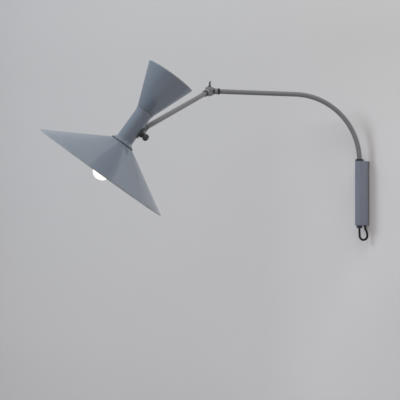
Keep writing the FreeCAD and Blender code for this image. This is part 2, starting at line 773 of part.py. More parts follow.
# ---------------------------------------------------------------- elbow

half_disc = size("friction_disc") / 2
disc_top = half_disc + size("face_gap") + size("disc_height")
pin_foot = -half_disc - size("disc_height") - size("face_gap")


def knuckle(label, tube):
    """Half-lap knuckle: a disc above the middle plane, a relieved barrel and a bored spigot.
    X runs along the barrel, Z along the elbow pin."""
    body = new_body(label)
    low = half_disc + size("face_gap")
    top = low + size("disc_height")
    disc = size("disc_radius")
    curve = size("knuckle_round")
    turn(body, [(0, low), (disc, low), (disc, top - curve),
                (disc - curve, top, disc - curve, top - curve, 1), (0, top)])
    barrel = size("barrel_radius")
    neck = size("knuckle_neck")
    half_neck = size("neck_width") / 2
    pad(body, "XY_Plane", outline([(0, -half_neck), (neck + PAST, -half_neck),
                                   (neck + PAST, half_neck), (0, half_neck)]),
        barrel - low - EDGE_BREAK, low)
    end = size("barrel_end")
    turn(body, [(neck, 0), (neck, barrel - EDGE_BREAK), (neck + EDGE_BREAK, barrel),
                (end, barrel), (end, 0)], "H_Axis")
    spigot = tube - size("tube_wall") - size("shaft_gap")
    spigot_end = end + size("spigot_length")
    turn(body, [(end - PAST, 0), (end - PAST, spigot), (spigot_end, spigot), (spigot_end, 0)],
         "H_Axis")
    wiring = size("cable_radius") + size("running_gap")
    turn(body, [(neck - PAST, 0), (neck - PAST, wiring), (spigot_end + PAST, wiring),
                (spigot_end + PAST, 0)], "H_Axis", cut=True)
    pocket(body, "XY_Plane", circles((0, 0, size("elbow_pin_radius") + size("shaft_gap"))),
           size("disc_height") + PAST * 2, low - PAST)
    return body


def elbow_pin():
    """Stepped pin: a low head under the rear knuckle, a shank and a thread for the wing nut."""
    body = new_body("elbow_pin")
    head = pin_foot - size("pin_head_height")
    shank_top = disc_top + size("face_gap")
    thread_top = shank_top + size("washer_height") + size("wing_hub_height")
    turn(body, [(0, head), (size("pin_head_radius") - EDGE_BREAK, head),
                (size("pin_head_radius"), pin_foot), (size("elbow_pin_radius"), pin_foot),
                (size("elbow_pin_radius"), shank_top),
                (size("elbow_thread_radius"), shank_top),
                (size("elbow_thread_radius"), thread_top), (0, thread_top)])
    return body


def wing_nut():
    """Hub with two raised wings, which lie along Y. Z is the elbow pin."""
    body = new_body("wing_nut")
    foot = disc_top + size("face_gap") + size("washer_height") + size("face_gap")
    top = foot + size("wing_hub_height")
    hub = size("wing_hub_radius")
    brim = foot + size("wing_foot")
    edge = size("wing_edge")
    turn(body, [(0, foot), (hub + edge, foot), (hub + edge, brim), (hub, top - edge),
                (hub - edge, top), (0, top)])
    tip = foot + size("wing_height")
    span = size("wing_span")
    curve = size("wing_round")
    waist = size("wing_waist")
    wings = [(-waist, brim), (waist, brim), (span, tip - curve),
             (span - curve, tip, span - curve, tip - curve, 1),
             (waist, top - edge), (-waist, top - edge), (-span + curve, tip),
             (-span, tip - curve, -span + curve, tip - curve, 1)]
    pad(body, "YZ_Plane", outline(wings), size("wing_thickness"), middle=True)
    bore = size("elbow_thread_radius") + size("shaft_gap")
    pocket(body, "XY_Plane", circles((0, 0, bore)), size("wing_hub_height") + PAST * 2,
           foot - PAST)
    return body


def elbow():
    below = elbow_frame * about(AXIS_Y, 180)
    place(knuckle("rear_knuckle", shaft), below)
    place(elbow_pin(), elbow_frame)
    bore = size("elbow_pin_radius") + size("shaft_gap")
    place(ring("elbow_friction_disc", bore, size("disc_radius") - EDGE_BREAK, -half_disc,
               half_disc), elbow_frame)
    foot = disc_top + size("face_gap")
    place(ring("elbow_washer", size("elbow_thread_radius") + size("shaft_gap"),
               size("elbow_washer_radius"), foot, foot + size("washer_height")), elbow_frame)
    place(wing_nut(), elbow_frame * about(AXIS_Z, size("wing_turn")))
    place(knuckle("front_knuckle", size("front_tube_radius")), knuckle_frame)


# ---------------------------------------------------------------- front arm

far_end = size("front_reach") - size("tongue_reach")
tongue_start = far_end + size("end_ring_length")
bend_start = tongue_start + size("tongue_barrel")


def straight_arm_tube():
    body = new_body("straight_arm_tube")
    outside = size("front_tube_radius")
    inside = outside - size("tube_wall")
    turn(body, [(tube_end, inside), (tube_end, outside), (far_end, outside), (far_end, inside)],
         "H_Axis")
    return body


def end_ring():
    body = new_body("end_ring")
    inside = size("front_tube_radius") - size("tube_wall")
    turn(body, [(far_end, inside), (far_end, size("end_ring_radius")),
                (tongue_start, size("end_ring_radius")), (tongue_start, inside)], "H_Axis")
    return body


def head_tongue():
    """Spigot and barrel in line with the tube, then a flat bar cranked aside to the pivot eye."""
    body = new_body("head_tongue")
    inside = size("front_tube_radius") - size("tube_wall") - size("seat_gap")
    spigot_start = far_end - size("tongue_spigot")
    turn(body, [(spigot_start, 0), (spigot_start, inside), (tongue_start, inside),
                (tongue_start, size("front_tube_radius")),
                (bend_start - EDGE_BREAK, size("front_tube_radius")),
                (bend_start, size("front_tube_radius") - EDGE_BREAK), (bend_start, 0)], "H_Axis")
    half = size("tongue_thickness") / 2
    eye = size("front_reach")
    flat_start = eye - size("tongue_flat")
    aside = size("tongue_offset")
    crank = math.atan2(float(aside), float(flat_start - bend_start))
    mitre = half * math.tan(crank / 2)
    root = bend_start - size("tongue_thickness")
    bar = [(root, -half), (bend_start + mitre, -half), (flat_start + mitre, aside - half),
           (eye, aside - half), (eye, aside + half), (flat_start - mitre, aside + half),
           (bend_start - mitre, half), (root, half)]
    pad(body, "XZ_Plane", outline(bar), size("tongue_radius") * 2, middle=True)
    pad(body, "XY_Plane", circles((eye, 0, size("tongue_radius"))), size("tongue_thickness"),
        aside - half)
    pocket(body, "XY_Plane", circles((eye, 0, size("pivot_bolt_radius") + size("shaft_gap"))),
           size("tongue_thickness") + PAST * 2, aside - half - PAST)
    wiring = size("cable_radius") + size("running_gap")
    turn(body, [(spigot_start - PAST, 0), (spigot_start - PAST, wiring), (tongue_start, wiring),
                (tongue_start, 0)], "H_Axis", cut=True)
    return body


def front_arm():
    for make in (straight_arm_tube, end_ring, head_tongue):
        place(make(), front_frame)
    place(swivel_ring("front_swivel_ring"), front_frame)
    start = Vector(float(size("knuckle_neck") + size("cable_inset")), 0, 0)
    end = Vector(float(tongue_start - size("running_gap")), 0, 0)
    route = Part.Wire([Part.LineSegment(start, end).toShape()])
    place(cable_along("front_arm_cable", route, AXIS_X), front_frame)


# ---------------------------------------------------------------- head

tongue_inner = size("pivot_offset") - size("tongue_thickness") / 2
bracket_face = tongue_inner - size("washer_height") - size("face_gap")
tongue_outer = size("pivot_offset") + size("tongue_thickness") / 2
knob_face = tongue_outer + size("face_gap") * 2 + size("washer_height")
cylinder_inside = size("cylinder_radius") - size("cylinder_wall")
bolt_head_face = cylinder_inside - size("pivot_bolt_setback")


def head_bracket():
    """Saddle on the side of the cylinder with the round boss of the pivot. X points outward."""
    body = new_body("head_bracket")
    half_width = size("bracket_width") / 2
    half_length = size("bracket_length") / 2
    saddle = [(-half_width, -half_length), (half_width, -half_length),
              (half_width, half_length), (-half_width, half_length)]
    inner = size("cylinder_radius") / 2
    outer = size("cylinder_radius") + size("bracket_depth")
    pad(body, "YZ_Plane", outline(saddle), outer - inner, inner)
    pad(body, "YZ_Plane", circles((0, 0, size("bracket_radius"))), bracket_face - inner, inner)
    turn(body, block(0, size("cylinder_radius") + size("seat_gap"), -half_length - PAST,
                     half_length + PAST), cut=True)
    pitch = size("bracket_screw_pitch") / 2
    screw = size("bracket_screw_radius")
    bore = size("pivot_bolt_radius") + size("seat_gap")
    holes = circles((0, 0, bore), (0, pitch, screw), (0, -pitch, screw))
    pocket(body, "YZ_Plane", holes, bracket_face - inner + PAST * 2, inner - PAST)
    return body


def central_cylinder():
    body = new_body("central_cylinder")
    turn(body, block(cylinder_inside, size("cylinder_radius"), -size("cylinder_down"),
                     size("cylinder_up")))
    pitch = size("bracket_screw_pitch") / 2
    screw = size("bracket_screw_radius") + size("seat_gap")
    bore = size("pivot_bolt_radius") + size("seat_gap")
    holes = circles((0, 0, bore), (0, pitch, screw), (0, -pitch, screw))
    pocket(body, "YZ_Plane", holes, size("cylinder_radius") + PAST)
    return body


def head_pivot_bolt():
    """Bolt from inside the cylinder out through bracket and tongue to the knob. Z is its axis."""
    body = new_body("head_pivot_bolt")
    back = bolt_head_face - size("pivot_offset")
    end = knob_face - size("pivot_offset") + size("knob_bore")
    crown = back - size("pivot_bolt_head_height")
    turn(body, [(0, crown), (size("pivot_bolt_head"), crown), (size("pivot_bolt_head"), back),
                (size("pivot_bolt_radius"), back),
                (size("pivot_bolt_radius"), end), (0, end)])
    return body


def bracket_screws():
    """Two pan-head screws from inside the cylinder into the bracket."""
    screws = []
    for side in (-1, 1):
        body = new_body("bracket_screw")
        radius = size("bracket_screw_radius") - size("seat_gap")
        head = radius * 2
        back = bolt_head_face + size("running_gap")
        crown = back - size("bracket_screw_head")
        end = size("cylinder_radius") + size("bracket_depth") / 2
        turn(body, [(0, crown), (head, crown), (head, back), (radius, back), (radius, end),
                    (0, end)])
        body.Placement = (shift(0, 0, size("bracket_screw_pitch") / 2 * side)
                          * about(AXIS_Y, 90))
        screws.append(body)
    group = doc.addObject("Part::Compound", "bracket_screws")
    group.Label = "bracket_screws"
    group.Links = screws
    return group


def head_knob():
    """Ball-like knob on a short neck, with a blind threaded bore. Z is the pivot's axis."""
    body = new_body("head_knob")
    foot = knob_face - size("pivot_offset")
    top = foot + size("knob_length")
    rim = size("knob_radius")
    curve = size("knob_round")
    bore = size("pivot_bolt_radius") + size("shaft_gap")
    well = foot + size("knob_bore") + size("running_gap")
    neck = size("knob_neck_radius")
    shoulder = size("knob_shoulder")
    ball = foot + size("knob_neck")
    turn(body, [(bore, foot), (neck, foot), (neck, ball), (rim - shoulder, ball),
                (rim, ball + shoulder, rim - shoulder, ball + shoulder, 1), (rim, top - curve),
                (rim - curve, top, rim - curve, top - curve, 1), (0, top), (0, well),
                (bore, well)])
    return body


def cone_shell(label, seat_level, seat_radius, rim_level, rim_radius, up):
    """Spun reflector: a flat seat with the lampholder's hole, a cone and a straight rim lip.
    up is 1 for a reflector that opens upward and -1 for one that opens downward."""
    body = new_body(label)
    wall = size("reflector_wall")
    lip = size("rim_lip")
    slope = math.atan2(abs(float(rim_level) - float(seat_level)),
                       float(rim_radius) - float(seat_radius))
    level_step = wall / math.cos(slope)
    width_step = wall / math.sin(slope)
    turn(body, [(size("socket_hole"), seat_level), (seat_radius, seat_level),
                (rim_radius, rim_level - lip * up), (rim_radius, rim_level),
                (rim_radius - wall, rim_level),
                (rim_radius - wall, rim_level - (lip - level_step + wall * math.tan(slope)) * up),
                (seat_radius - width_step + wall / math.tan(slope), seat_level + wall * up),
                (size("socket_hole"), seat_level + wall * up)])
    return body


def seat_collar(label, end, face, seat_radius, up):
    """Conical collar from the end of the cylinder to a reflector's seat; up as above."""
    body = new_body(label)
    wall = size("cylinder_wall")
    turn(body, [(cylinder_inside, end), (size("cylinder_radius"), end),
                (seat_radius, face - size("collar_rim") * up), (seat_radius, face),
                (seat_radius - wall, face), (cylinder_inside, end + wall * up)])
    return body


def lamp_unit(prefix, base, cut, up):
    """Lampholder, screw cap and bulb, one behind the other from the reflector's seat.
    cut is how much shorter the lampholder is than the full one."""
    flange = size("holder_flange_height")
    skirt = size("holder_radius")
    mouth = size("holder_length") - cut
    start = size("bulb_start") - cut
    well = size("bulb_cap_radius") + size("seat_gap")
    holder = new_body(f"{prefix}_lampholder")
    stem = size("stem_radius") + size("seat_gap")
    turn(holder, [(stem, base), (size("holder_flange"), base),
                  (size("holder_flange"), base + flange * up), (skirt, base + flange * up),
                  (skirt, base + mouth * up), (well, base + mouth * up),
                  (well, base + start * up), (stem, base + (start - size("holder_cone")) * up)])
    place(holder, head_frame)
    contact = base + start * up
    cap = new_body(f"{prefix}_bulb_cap")
    radius = size("bulb_cap_radius")
    turn(cap, [(0, contact), (radius / 2, contact), (radius, contact + size("bulb_taper") * up),
               (radius, contact + size("bulb_cap_length") * up),
               (0, contact + size("bulb_cap_length") * up)])
    place(cap, head_frame)
    bulb = new_body(f"{prefix}_bulb")
    neck = contact + size("bulb_cap_length") * up
    globe = size("bulb_radius")
    tip = contact + size("bulb_length") * up
    centre = tip - globe * up
    shoulder = math.radians(float(size("bulb_shoulder")))
    glass = size("bulb_glass")
    inside = globe - glass
    level = math.sin(shoulder) * up
    flare = neck + size("bulb_neck") * up
    turn(bulb, [(radius - glass, neck), (radius, neck), (radius, flare),
                (globe * math.cos(shoulder), centre - globe * level),
                (0, tip, 0, centre, up), (0, tip - glass * up),
                (inside * math.cos(shoulder), centre - inside * level, 0, centre, -up),
                (radius - glass, flare)])
    place(bulb, head_frame)


def head():
    for make in (head_bracket, bracket_screws, central_cylinder):
        place(make(), head_frame)
    inner = tongue_inner - size("pivot_offset") - size("face_gap")
    bore = size("pivot_bolt_radius") + size("shaft_gap")
    place(head_pivot_bolt(), pivot_frame)
    place(ring("tongue_washer", bore, size("bracket_radius"), inner - size("washer_height"),
               inner), pivot_frame)
    outer = tongue_outer - size("pivot_offset") + size("face_gap")
    place(ring("knob_washer", bore, size("bracket_radius"), outer,
               outer + size("washer_height")), pivot_frame)
    place(head_knob(), pivot_frame)
    plate = cylinder_inside - size("seat_gap")
    hole = size("stem_radius") + size("seat_gap")
    lower_end = -size("cylinder_down")
    upper_end = size("cylinder_up")
    place(ring("lower_end_plate", hole, plate, lower_end, lower_end + size("end_plate_height")),
          head_frame)
    place(ring("upper_end_plate", hole, plate, upper_end - size("end_plate_height"), upper_end),
          head_frame)
    lower_face = lower_end - size("collar_drop")
    upper_face = upper_end + size("collar_rise")
    place(seat_collar("lower_collar", lower_end, lower_face, size("lower_seat_radius"), -1),
          head_frame)
    place(seat_collar("upper_collar", upper_end, upper_face, size("upper_seat_radius"), 1),
          head_frame)
    lower_seat = lower_face - size("gasket_height")
    upper_seat = upper_face + size("gasket_height")
    gasket_hole = size("socket_hole")
    lower_gasket = size("lower_seat_radius") + size("gasket_overhang")
    upper_gasket = size("upper_seat_radius") - size("gasket_setback")
    place(ring("lower_gasket", gasket_hole, lower_gasket, lower_seat, lower_face), head_frame)
    place(ring("upper_gasket", gasket_hole, upper_gasket, upper_face, upper_seat), head_frame)
    place(cone_shell("lower_reflector", lower_seat, size("lower_seat_radius"),
                     -size("lower_rim_drop"), size("lower_rim_radius"), -1), head_frame)
    place(cone_shell("upper_reflector", upper_seat, size("upper_seat_radius"),
                     size("upper_rim_rise"), size("upper_rim_radius"), 1), head_frame)
    lower_base = lower_seat - size("reflector_wall")
    upper_base = upper_seat + size("reflector_wall")
    lamp_unit("lower", lower_base, 0, -1)
    lamp_unit("upper", upper_base, size("upper_holder_cut"), 1)
    thread = size("stem_thread")
    place(ring("holder_stem", size("stem_bore"), size("stem_radius"), lower_base - thread,
               upper_base + thread), head_frame)


# ---------------------------------------------------------------- assembly and writing

def find_faults():
    faults = [f"{item.Label}: {item.State}" for item in doc.Objects
              if "Invalid" in item.State or "Error" in item.State]
    for item in NODES:
        if item.Shape.isNull() or not item.Shape.isValid() or not item.Shape.Solids:
            faults.append(f"{item.Label}: bad shape")
    return faults


wall_unit()
place(supply_cable_loop(), CENTRED)
rear_arm()
elbow()
front_arm()
head()
doc.recompute()

problems = find_faults()
if problems:
    raise RuntimeError("; ".join(problems))

os.makedirs("parts", exist_ok=True)
for item in NODES:
    item.Shape.exportStep(f"parts/{item.Label}.step")
for label, frame in (("rear_frame", rear_frame), ("elbow_frame", elbow_frame),
                     ("knuckle_frame", knuckle_frame), ("front_frame", front_frame),
                     ("pivot_frame", pivot_frame), ("head_frame", head_frame)):
    axes = [frame.Rotation.multVec(axis) for axis in (AXIS_X, AXIS_Z)]
    print(label, [round(v, 5) for v in frame.Base], [[round(v, 6) for v in a] for a in axes])
print(len(NODES), "sub-parts")
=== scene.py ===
import math
import bmesh
import bpy
from mathutils import Matrix, Vector


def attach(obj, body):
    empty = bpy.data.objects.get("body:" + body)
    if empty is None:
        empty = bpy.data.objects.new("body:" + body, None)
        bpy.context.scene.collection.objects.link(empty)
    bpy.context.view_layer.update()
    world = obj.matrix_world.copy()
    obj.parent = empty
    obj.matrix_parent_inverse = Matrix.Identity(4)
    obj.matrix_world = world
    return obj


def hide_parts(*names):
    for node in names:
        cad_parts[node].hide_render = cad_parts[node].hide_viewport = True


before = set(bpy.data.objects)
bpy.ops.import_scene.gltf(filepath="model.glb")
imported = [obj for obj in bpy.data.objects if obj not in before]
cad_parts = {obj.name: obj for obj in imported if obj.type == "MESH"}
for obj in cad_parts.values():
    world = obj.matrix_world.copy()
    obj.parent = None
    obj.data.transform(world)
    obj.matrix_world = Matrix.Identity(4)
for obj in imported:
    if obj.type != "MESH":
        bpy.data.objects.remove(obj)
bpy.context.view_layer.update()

MM = 0.001
MERGE = 0.01 * MM


def seated(origin, x_axis, z_axis):
    """From a shape modelled at the origin to its seat in the lamp."""
    side = Vector(x_axis).normalized()
    up = Vector(z_axis).normalized()
    turn = Matrix((side, up.cross(side), up)).transposed().to_4x4()
    return Matrix.Translation(origin) @ turn


# The middle of the head beside its pivot, with Z along the head's axis to the upper reflector.
HEAD_PIVOT = (-0.24510895, -1.08307557, 0.20844073)
HEAD_AXIS = (0.429911, 0.392897, 0.812901)
# The eye of the tongue, on the pivot bolt.
TONGUE_EYE = (-0.21953126, -1.06779673, 0.18752903)
HEAD = seated(HEAD_PIVOT, (0.702684, 0.419748, -0.574497), HEAD_AXIS)
# The elbow's middle plane, with Z along the elbow pin.
ELBOW_MIDDLE = (-0.43156206, -0.45926558, 0.40047936)
PIN_AXIS = (0.255376, -0.227908, 0.939596)
ELBOW = seated(ELBOW_MIDDLE, (-0.722784, -0.690466, 0.028968), PIN_AXIS)
# The two arms' straight axes at the elbow, with Z away from the pin.
REAR_BARREL = seated(ELBOW_MIDDLE, PIN_AXIS, (0.722784, 0.690466, -0.028968))
FRONT_BARREL = seated(ELBOW_MIDDLE, (0.702715, 0.419637, -0.574540),
                      (0.296033, -0.906714, -0.300392))


# ---------------------------------------------------------------- camera
eye = bpy.data.objects.new("viewpoint", bpy.data.cameras.new("viewpoint"))
eye.data.sensor_width = 36
eye.data.lens = 84.5
eye.location = (1.9097, -3.3072, -0.0270)
eye.rotation_euler = (math.radians(90), 0, math.radians(40))
bpy.context.scene.collection.objects.link(eye)
bpy.context.scene.camera = eye


# ---------------------------------------------------------------- cable loop
CABLE_ROUTE = [
    (0, -47, -139.3), (0, -47, -150), (0.4, -46.3, -162), (0.5, -46.1, -175.2),
    (5.5, -37.2, -185.5), (12.6, -24.6, -185.5), (17.6, -15.7, -175.2),
    (17.4, -15.8, -161.5), (13.2, -15.4, -150), (7.5, -17, -140.5), (7.5, -17, -130.5),
]
CABLE_RADIUS = 4.4 * MM


def supply_cable():
    """The loop of cable from the foot of the arm up into the gland of the housing. The bevel is
    1 m and every point scales it down, so the curve's box is no larger than the cable."""
    line = bpy.data.curves.new("supply_cable", "CURVE")
    line.dimensions = "3D"
    line.bevel_depth = 1.0
    line.bevel_resolution = 6
    line.resolution_u = 16
    run = line.splines.new("NURBS")
    run.points.add(len(CABLE_ROUTE) - 1)
    for point, (x, y, z) in zip(run.points, CABLE_ROUTE):
        point.co = (x * MM, y * MM, z * MM, 1)
        point.radius = CABLE_RADIUS
    run.order_u = 3
    run.use_endpoint_u = True
    cable = bpy.data.objects.new("supply_cable", line)
    bpy.context.scene.collection.objects.link(cable)
    return cable


cable = supply_cable()
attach(cable, "wall_unit")
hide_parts("supply_cable_loop")


# ---------------------------------------------------------------- shader maths
def tone(red, green, blue):
    """A screen colour, 0 to 255, as the linear colour that a shader takes."""
    linear = [((c / 255 + 0.055) / 1.055) ** 2.4 if c > 10 else c / 255 / 12.92
              for c in (red, green, blue)]
    return (*linear, 1.0)


def scaled(colour, factor):
    """A colour made lighter or darker."""
    return (*(min(1.0, c * factor) for c in colour[:3]), 1.0)


class Socket:
    """A value in a finish. Sums and products of it add their Math nodes."""

    def __init__(self, finish, output):
        self.finish = finish
        self.output = output

    def math(self, operation, first, second):
        return self.finish.node("ShaderNodeMath", {"operation": operation},
                                {0: first, 1: second})

    def __add__(self, other):
        return self.math("ADD", self, other)

    def __radd__(self, other):
        return self.math("ADD", other, self)

    def __mul__(self, other):
        return self.math("MULTIPLY", self, other)


class Finish:
    """One material: a Principled shader and the nodes that feed it."""

    def __init__(self, name, **constants):
        self.material = bpy.data.materials.new(name)
        self.material.use_nodes = True
        self.tree = self.material.node_tree
        self.shader = self.tree.nodes["Principled BSDF"]
        for socket, value in constants.items():
            self.shader.inputs[socket.replace("_", " ")].default_value = value
        self.place = self.node("ShaderNodeTexCoord", output="Object")

    def feed(self, socket, value):
        if isinstance(value, Socket):
            self.tree.links.new(value.output, socket)
        else:
            socket.default_value = value

    def node(self, kind, settings=None, inputs=None, output=0):
        """Any node: its settings first, then the values or links of its sockets."""
        made = self.tree.nodes.new(kind)
        for name, setting in (settings or {}).items():
            setattr(made, name, setting)
        for key, value in (inputs or {}).items():
            self.feed(made.inputs[key], value)
        return Socket(self, made.outputs[output])

    def noise(self, scale, detail, where=None, rough=0.5):
        return self.node("ShaderNodeTexNoise", {}, {
            "Vector": where or self.place, "Scale": scale, "Detail": detail,
            "Roughness": rough}, output="Fac")

    def blend(self, factor, first, second):
        """Goes from the first colour to the second as factor goes from 0 to 1."""
        return self.node("ShaderNodeMix", {"data_type": "RGBA"},
                         {0: factor, 6: first, 7: second}, output=2)

    def between(self, value, low, high):
        """0 below low, 1 above high, and an even rise between."""
        return self.node("ShaderNodeMapRange", {"clamp": True},
                         {"Value": value, "From Min": low, "From Max": high})

    def vector(self, operation, first, second, output=0):
        return self.node("ShaderNodeVectorMath", {"operation": operation},
                         {0: first, 1: second}, output=output)

    def stretched(self, scale):
        """Object coordinates made longer or shorter along each axis."""
        return self.node("ShaderNodeMapping", {}, {"Vector": self.place, "Scale": scale})

    def bump(self, height, strength, distance):
        return self.node("ShaderNodeBump", {}, {
            "Height": height, "Strength": strength, "Distance": distance})

    def sends(self, **values):
        for socket, value in values.items():
            self.feed(self.shader.inputs[socket.replace("_", " ")], value)
        return self.material


def enamel(name, colour, rough):
    """Sprayed enamel: faint orange peel, slow changes of tone and a little dust."""
    cloud, peel = 0.06, 0.12
    finish = Finish(name, Metallic=0.0, IOR=1.5)
    slow = finish.noise(9.0, 4.0)
    fine = finish.noise(160.0, 3.0)
    dust = finish.between(finish.noise(520.0, 2.0), 0.66, 0.74)
    worn = finish.between(finish.noise(34.0, 8.0, rough=0.7), 0.60, 0.72)
    body = finish.blend(slow, scaled(colour, 1 - cloud), scaled(colour, 1 + cloud))
    dusty = finish.blend(dust * 0.10, body, tone(196, 194, 188))
    shade = finish.blend(worn * 0.10, dusty, scaled(colour, 0.72))
    skin = finish.noise(900.0, 2.0)
    return finish.sends(
        Base_Color=shade,
        Roughness=rough - 0.05 + fine * 0.06 + worn * 0.08,
        Normal=finish.bump(skin + slow * 2.0, peel, 0.0004))


def spun_enamel(name, colour, rough):
    """Enamel on spun sheet: faint rings round the head's axis show through the paint."""
    finish = Finish(name, IOR=1.7)
    away = finish.vector("SUBTRACT", finish.place, HEAD_PIVOT)
    height = finish.vector("DOT_PRODUCT", away, HEAD_AXIS, output="Value")
    rings = finish.node("ShaderNodeTexNoise", {"noise_dimensions": "1D"},
                        {"W": height, "Scale": 210.0, "Detail": 3.0}, output="Fac")
    slow = finish.noise(7.0, 4.0)
    fine = finish.noise(180.0, 3.0)
    worn = finish.between(finish.noise(30.0, 8.0, rough=0.7), 0.60, 0.73)
    dust = finish.between(finish.noise(480.0, 2.0), 0.66, 0.74)
    body = finish.blend(slow, scaled(colour, 0.95), scaled(colour, 1.05))
    dusty = finish.blend(dust * 0.10, body, tone(198, 197, 192))
    shade = finish.blend(worn * 0.08, dusty, scaled(colour, 0.75))
    return finish.sends(
        Base_Color=shade,
        Roughness=rough - 0.05 + fine * 0.05 + worn * 0.08,
        Normal=finish.bump(rings * 1.2 + finish.noise(850.0, 2.0) * 0.5, 0.10, 0.0005))


def enamel_dark_near_eye(name, colour, cap, rough):
    """The arm's enamel, near black within about 10.5 mm of the tongue's eye round the head's
    pivot and fading out by 12.5 mm.
    """
    dark_fades_at, dark_full_within, waver = 0.0125, 0.0105, 0.001
    finish = Finish(name, IOR=1.5)
    away = finish.vector("DISTANCE", finish.place, TONGUE_EYE, output="Value")
    # Near black round the tongue's eye, fading out a little further off.
    dark_near_eye = finish.between(away + finish.noise(60.0, 3.0) * waver, dark_fades_at, dark_full_within)
    slow = finish.noise(9.0, 4.0)
    fine = finish.noise(160.0, 3.0)
    paint = finish.blend(slow, scaled(colour, 0.94), scaled(colour, 1.06))
    black = finish.blend(fine, scaled(cap, 0.85), scaled(cap, 1.2))
    return finish.sends(
        Base_Color=finish.blend(dark_near_eye, paint, black),
        Roughness=rough - 0.05 + fine * 0.08,
        Normal=finish.bump(finish.noise(900.0, 2.0), 0.12, 0.0004))


def moulded(name, colour, rough, grain=0.2):
    """Moulded plastic: fine spark-eroded grain and a little handling shine."""
    finish = Finish(name, IOR=1.47)
    slow = finish.noise(60.0, 3.0)
    pits = finish.noise(1500.0, 2.0)
    shade = finish.blend(slow, scaled(colour, 0.88), scaled(colour, 1.14))
    return finish.sends(
        Base_Color=shade,
        Roughness=rough - 0.06 + slow * 0.12,
        Normal=finish.bump(pits, grain, 0.0002))


def turned_steel(name, colour, rough, metal=1.0):
    """Turned and plated steel: fine tool lines and cloudy plating."""
    finish = Finish(name, Metallic=metal)
    lines = finish.noise(1.0, 2.0, where=finish.stretched((900.0, 60.0, 900.0)))
    cloud = finish.noise(45.0, 5.0)
    stain = finish.between(finish.noise(90.0, 6.0, rough=0.65), 0.58, 0.72)
    body = finish.blend(cloud, scaled(colour, 0.85), scaled(colour, 1.12))
    shade = finish.blend(stain * 0.35, body, scaled(colour, 0.45))
    return finish.sends(
        Base_Color=shade,
        Roughness=rough + lines * 0.10 + stain * 0.18,
        Normal=finish.bump(lines, 0.15, 0.0002))


def rubber_sheath(name, colour):
    """Matt cable sheath with faint streaks and dust."""
    finish = Finish(name, IOR=1.48)
    streak = finish.noise(1.0, 3.0, where=finish.stretched((500.0, 500.0, 60.0)))
    dust = finish.between(finish.noise(300.0, 4.0), 0.55, 0.75)
    body = finish.blend(streak, scaled(colour, 0.8), scaled(colour, 1.25))
    return finish.sends(
        Base_Color=finish.blend(dust * 0.12, body, tone(120, 118, 114)),
        Roughness=0.52 + streak * 0.12,
        Normal=finish.bump(finish.noise(1400.0, 2.0), 0.15, 0.0002))


def pressed_fibre(name):
    """Red-brown pressed fibre of the friction disc and washers."""
    finish = Finish(name, IOR=1.45)
    flecks = finish.noise(700.0, 5.0)
    return finish.sends(
        Base_Color=finish.blend(flecks, tone(74, 46, 36), tone(112, 74, 56)),
        Roughness=0.75 + flecks * 0.15,
        Normal=finish.bump(flecks, 0.3, 0.0002))


def lit_opal(name):
    """Opal glass of a bulb that is on: nearly even white, a little warmer in patches."""
    finish = Finish(name, IOR=1.5, Roughness=0.25, Emission_Strength=1.6)
    soft = finish.noise(22.0, 2.0)
    return finish.sends(
        Base_Color=finish.blend(soft, tone(250, 248, 243), tone(255, 253, 250)),
        Emission_Color=finish.blend(soft, tone(255, 246, 232), tone(255, 251, 243)),
        Roughness=0.20 + soft * 0.1)


FINISHES = {
    "housing_paint": enamel("housing_paint", tone(121, 126, 141), 0.22),
    "arm_paint": enamel("arm_paint", tone(116, 117, 121), 0.36),
    # The front arm's copy of the arm enamel, made darker as painted shade.
    "front_arm_shaded_paint": enamel("front_arm_shaded_paint", tone(108, 109, 113), 0.36),
    # Darker than the housing's enamel: painted shade on the bracket's side by the wall.
    "bracket_paint": enamel("bracket_paint", tone(98, 99, 102), 0.5),
    "black_paint": enamel("black_paint", tone(78, 81, 87), 0.4),
    "tongue_paint": enamel_dark_near_eye("tongue_paint", tone(113, 114, 118), tone(44, 45, 47), 0.36),
    "elbow_paint": enamel("elbow_paint", tone(119, 121, 123), 0.36),
    "head_paint": spun_enamel("head_paint", tone(118, 128, 141), 0.16),
    "inner_white": spun_enamel("inner_white", tone(228, 227, 222), 0.45),
    "black_plastic": moulded("black_plastic", tone(40, 41, 44), 0.42),
    "knob_plastic": moulded("knob_plastic", tone(68, 71, 75), 0.42),
    "gasket_rubber": moulded("gasket_rubber", tone(72, 75, 80), 0.6),
    "white_plastic": moulded("white_plastic", tone(226, 224, 216), 0.35, 0.1),
    "steel": turned_steel("steel", tone(190, 190, 192), 0.28),
    "dark_steel": turned_steel("dark_steel", tone(112, 113, 116), 0.42, 0.3),
    "blued_steel": turned_steel("blued_steel", tone(66, 67, 70), 0.42, 0.3),
    "fibre": pressed_fibre("fibre"),
    "cable_rubber": rubber_sheath("cable_rubber", tone(10, 10, 11)),
    "bulb_glass": lit_opal("bulb_glass"),
    "bulb_metal": turned_steel("bulb_metal", tone(186, 178, 160), 0.32),
}


# ---------------------------------------------------------------- meshes
def spun(shape, profile, steps=96):
    """Adds the surface that a profile of (radius, height) points sweeps about Z."""
    rim = [shape.verts.new((radius * MM, 0, height * MM)) for radius, height in profile]
    edges = [shape.edges.new(pair) for pair in zip(rim, rim[1:])]
    bmesh.ops.spin(shape, geom=rim + edges, cent=(0, 0, 0), axis=(0, 0, 1),
                   dvec=(0, 0, 0), angle=math.tau, steps=steps, use_merge=True)


